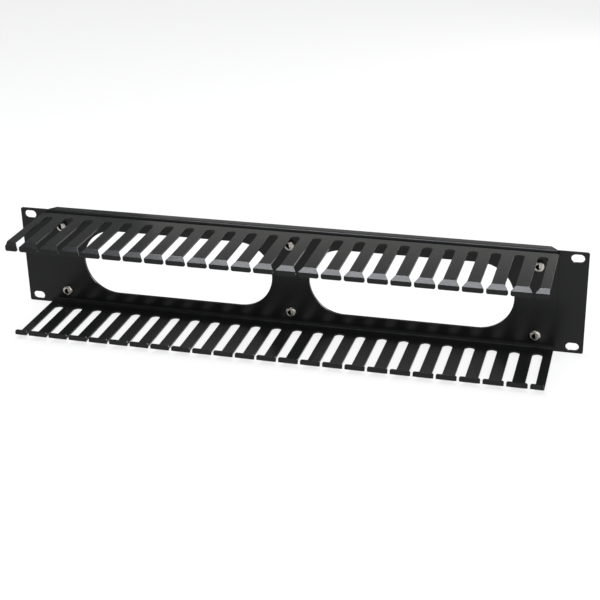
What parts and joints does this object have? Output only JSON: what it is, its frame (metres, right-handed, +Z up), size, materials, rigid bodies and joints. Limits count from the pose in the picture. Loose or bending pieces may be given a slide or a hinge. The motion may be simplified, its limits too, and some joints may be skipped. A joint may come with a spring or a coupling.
{
  "type": "horizontal cable manager",
  "caption": "Horizontal cable manager for a 19-inch rack: a slotted steel finger duct, open at the front, on a folded panel with large round-ended openings.",
  "frame": {"origin": "centre of the rack-hole pattern, on the panel's rear mounting face", "axes": "+X to the right seen from the front, +Y to the rear of the rack, +Z up"},
  "size_m": [0.4826, 0.0846, 0.087],
  "materials": {
    "black_powder_coat": "satin black powder coat on sheet steel",
    "zinc_plated_steel": "bright zinc plate"
  },
  "bodies": {
    "root": {"rack_panel": "black_powder_coat", "finger_duct": "black_powder_coat", "screw_upper_left": "zinc_plated_steel", "screw_upper_centre": "zinc_plated_steel", "screw_upper_right": "zinc_plated_steel", "screw_lower_left": "zinc_plated_steel", "screw_lower_centre": "zinc_plated_steel", "screw_lower_right": "zinc_plated_steel", "nut_upper_left": "zinc_plated_steel", "nut_upper_centre": "zinc_plated_steel", "nut_upper_right": "zinc_plated_steel", "nut_lower_left": "zinc_plated_steel", "nut_lower_centre": "zinc_plated_steel", "nut_lower_right": "zinc_plated_steel"}
  },
  "joints": []
}
